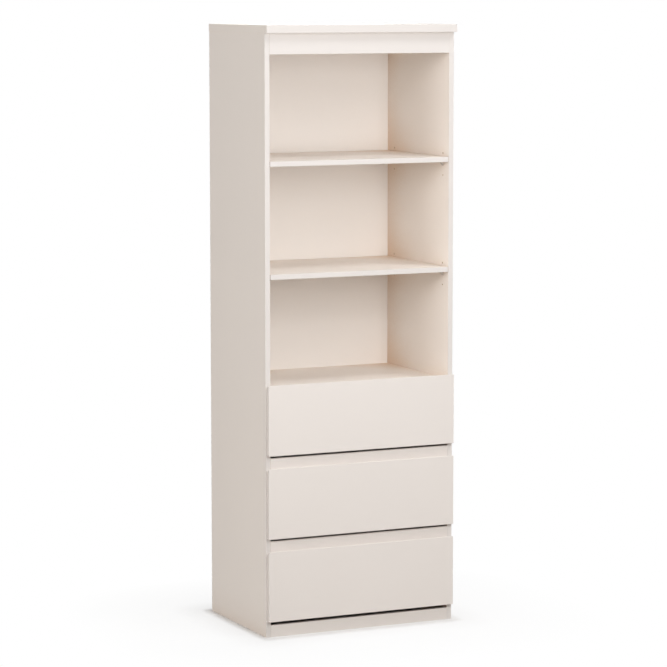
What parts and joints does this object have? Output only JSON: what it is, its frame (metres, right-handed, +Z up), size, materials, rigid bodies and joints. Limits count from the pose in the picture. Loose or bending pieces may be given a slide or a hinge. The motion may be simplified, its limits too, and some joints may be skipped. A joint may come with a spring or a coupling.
{
  "type": "bookcase with drawers",
  "caption": "Tall narrow bookcase: open compartments with adjustable shelves over drawers on roller runners that are pulled by the edges of their fronts.",
  "frame": {"origin": "on the floor, in the middle of the overall width and depth", "axes": "+Z up; the drawers open towards -Y; +X is to the right of someone who faces the drawers"},
  "size_m": [0.6, 0.421, 1.746],
  "materials": {
    "melamine_board": "warm white melamine on chipboard, satin, edges banded in the same colour",
    "hardboard": "thin hardboard, painted warm white on the inside",
    "runner_steel": "rolled steel, white powder coat",
    "nylon": "white nylon",
    "zinc_alloy": "die-cast zinc",
    "plated_steel": "zinc-plated steel",
    "white_plastic": "white moulded plastic",
    "beech": "bare beech"
  },
  "bodies": {
    "carcase": {"back_nails": "plated_steel", "back_panel_lower": "hardboard", "back_panel_upper": "hardboard", "cabinet_runner_screws": "plated_steel", "cabinet_runners_lower": "runner_steel", "cabinet_runners_middle": "runner_steel", "cabinet_runners_upper": "runner_steel", "carcase_cam_bolts": "plated_steel", "carcase_cam_locks": "zinc_alloy", "carcase_dowels": "beech", "drawer_rail_lower": "melamine_board", "drawer_rail_upper": "melamine_board", "fixed_shelf": "melamine_board", "header_rail": "melamine_board", "plinth": "melamine_board", "rear_rail": "melamine_board", "shelf_lower": "melamine_board", "shelf_supports": "white_plastic", "shelf_upper": "melamine_board", "side_panel_left": "melamine_board", "side_panel_right": "melamine_board", "top_panel": "melamine_board", "wall_bracket": "plated_steel", "wall_bracket_screw": "plated_steel"},
    "drawer_lower": {"drawer_lower_back": "melamine_board", "drawer_lower_bottom": "hardboard", "drawer_lower_cam_fittings": "zinc_alloy", "drawer_lower_dowels": "beech", "drawer_lower_front": "melamine_board", "drawer_lower_runners": "runner_steel", "drawer_lower_screws": "plated_steel", "drawer_lower_side_left": "melamine_board", "drawer_lower_side_right": "melamine_board"},
    "drawer_lower_rollers": {"drawer_lower_rollers": "nylon"},
    "cabinet_rollers_lower": {"cabinet_rollers_lower": "nylon"},
    "drawer_middle": {"drawer_middle_back": "melamine_board", "drawer_middle_bottom": "hardboard", "drawer_middle_cam_fittings": "zinc_alloy", "drawer_middle_dowels": "beech", "drawer_middle_front": "melamine_board", "drawer_middle_runners": "runner_steel", "drawer_middle_screws": "plated_steel", "drawer_middle_side_left": "melamine_board", "drawer_middle_side_right": "melamine_board"},
    "drawer_middle_rollers": {"drawer_middle_rollers": "nylon"},
    "cabinet_rollers_middle": {"cabinet_rollers_middle": "nylon"},
    "drawer_upper": {"drawer_upper_back": "melamine_board", "drawer_upper_bottom": "hardboard", "drawer_upper_cam_fittings": "zinc_alloy", "drawer_upper_dowels": "beech", "drawer_upper_front": "melamine_board", "drawer_upper_runners": "runner_steel", "drawer_upper_screws": "plated_steel", "drawer_upper_side_left": "melamine_board", "drawer_upper_side_right": "melamine_board"},
    "drawer_upper_rollers": {"drawer_upper_rollers": "nylon"},
    "cabinet_rollers_upper": {"cabinet_rollers_upper": "nylon"}
  },
  "joints": [
    {"name": "drawer_lower_slide", "type": "slide", "parent": "carcase", "child": "drawer_lower", "axis": [0, -1, 0], "range_m": [0, 0.27]},
    {"name": "drawer_lower_roller_turn", "type": "hinge", "parent": "drawer_lower", "child": "drawer_lower_rollers", "pos_m": [0, 0.1435, 0.08], "axis": [1, 0, 0], "continuous": true},
    {"name": "cabinet_lower_roller_turn", "type": "hinge", "parent": "carcase", "child": "cabinet_rollers_lower", "pos_m": [0, -0.1785, 0.08], "axis": [1, 0, 0], "continuous": true},
    {"name": "drawer_middle_slide", "type": "slide", "parent": "carcase", "child": "drawer_middle", "axis": [0, -1, 0], "range_m": [0, 0.27]},
    {"name": "drawer_middle_roller_turn", "type": "hinge", "parent": "drawer_middle", "child": "drawer_middle_rollers", "pos_m": [0, 0.1435, 0.32], "axis": [1, 0, 0], "continuous": true},
    {"name": "cabinet_middle_roller_turn", "type": "hinge", "parent": "carcase", "child": "cabinet_rollers_middle", "pos_m": [0, -0.1785, 0.32], "axis": [1, 0, 0], "continuous": true},
    {"name": "drawer_upper_slide", "type": "slide", "parent": "carcase", "child": "drawer_upper", "axis": [0, -1, 0], "range_m": [0, 0.27]},
    {"name": "drawer_upper_roller_turn", "type": "hinge", "parent": "drawer_upper", "child": "drawer_upper_rollers", "pos_m": [0, 0.1435, 0.56], "axis": [1, 0, 0], "continuous": true},
    {"name": "cabinet_upper_roller_turn", "type": "hinge", "parent": "carcase", "child": "cabinet_rollers_upper", "pos_m": [0, -0.1785, 0.56], "axis": [1, 0, 0], "continuous": true}
  ],
  "couplings": [
    {"joint": "drawer_lower_roller_turn", "follows": "drawer_lower_slide", "rad_per_m": 100},
    {"joint": "cabinet_lower_roller_turn", "follows": "drawer_lower_slide", "rad_per_m": 100},
    {"joint": "drawer_middle_roller_turn", "follows": "drawer_middle_slide", "rad_per_m": 100},
    {"joint": "cabinet_middle_roller_turn", "follows": "drawer_middle_slide", "rad_per_m": 100},
    {"joint": "drawer_upper_roller_turn", "follows": "drawer_upper_slide", "rad_per_m": 100},
    {"joint": "cabinet_upper_roller_turn", "follows": "drawer_upper_slide", "rad_per_m": 100}
  ]
}
